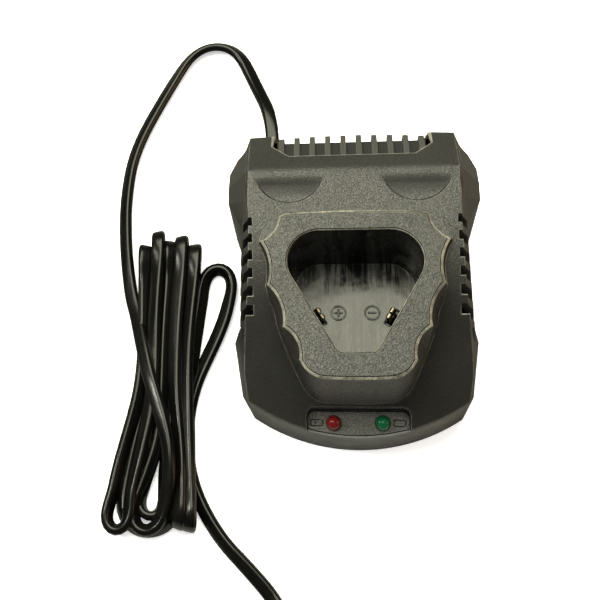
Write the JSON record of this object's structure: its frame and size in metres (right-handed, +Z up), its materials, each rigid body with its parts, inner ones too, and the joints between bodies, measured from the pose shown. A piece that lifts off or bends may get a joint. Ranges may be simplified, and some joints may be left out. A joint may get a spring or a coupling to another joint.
{
  "type": "power tool battery charger",
  "caption": "Desk-top charger with a triangular battery well, sprung contacts, lamps, vents, a rear grille and a flat mains cord.",
  "frame": {"origin": "centre of the charger's footprint on the table, at the feet's underside", "axes": "+X to the charger's right, +Y to its rear where the cord leaves, +Z up"},
  "size_m": [0.1424, 0.325, 0.059],
  "materials": {
    "housing_black": "fine matt moulding",
    "cover_textured": "spark-textured moulding",
    "well_gloss": "smooth glossy moulding",
    "panel_grey": "fine matt moulding",
    "lamp_red": "tinted clear lens",
    "lamp_green": "tinted clear lens",
    "contact_brass": "rolled spring strip",
    "foot_rubber": "moulded rubber",
    "cord_black": "smooth flexible sheath",
    "plug_black": "moulded plug",
    "pin_nickel": "nickel-plated brass",
    "board_green": "solder mask",
    "ferrite_grey": "ground ferrite",
    "tape_yellow": "wound tape",
    "sleeve_dark": "shrink sleeve",
    "part_black": "moulded epoxy",
    "disc_blue": "dipped coating",
    "fuse_ceramic": "glazed tube",
    "copper_wound": "enamelled wire",
    "sink_aluminium": "rolled sheet",
    "screw_steel": "zinc-plated",
    "wire_brown": "insulation",
    "wire_blue": "insulation"
  },
  "bodies": {
    "charger": {"lower_housing": "housing_black", "upper_housing": "cover_textured", "socket_well": "well_gloss", "vent_grille": "housing_black", "indicator_panel": "panel_grey", "red_led": "lamp_red", "green_led": "lamp_green", "terminal_block": "part_black", "main_board": "board_green", "transformer_core": "ferrite_grey", "transformer_coil": "tape_yellow", "input_capacitor": "sleeve_dark", "output_capacitor": "sleeve_dark", "line_choke": "copper_wound", "varistor": "disc_blue", "fuse": "fuse_ceramic", "bridge_rectifier": "part_black", "optocoupler": "part_black", "controller_chip": "part_black", "output_inductor": "copper_wound", "output_diode": "part_black", "heat_sink": "sink_aluminium", "power_transistor": "part_black", "housing_screws": "screw_steel", "board_screws": "screw_steel", "clamp_screws": "screw_steel", "rubber_feet": "foot_rubber", "cord_bushing": "cord_black", "cord_clamp": "part_black", "wire_live": "wire_brown", "wire_neutral": "wire_blue", "cord_lead": "cord_black", "cord_hank": "cord_black", "cord_tail": "cord_black", "plug_body": "plug_black", "plug_pins": "pin_nickel"},
    "positive_leaf": {"contact_positive": "contact_brass"},
    "negative_leaf": {"contact_negative": "contact_brass"}
  },
  "joints": [
    {"name": "contact_positive_spring", "type": "hinge", "parent": "charger", "child": "positive_leaf", "pos_m": [-0.01357, -0.01202, 0.0155], "axis": [0.5002, -0.8659, 0], "range_deg": [0, 5], "stiffness_Nm_per_rad": 0.5},
    {"name": "contact_negative_spring", "type": "hinge", "parent": "charger", "child": "negative_leaf", "pos_m": [0.01357, -0.01202, 0.0155], "axis": [0.5002, 0.8659, 0], "range_deg": [0, 5], "stiffness_Nm_per_rad": 0.5}
  ]
}
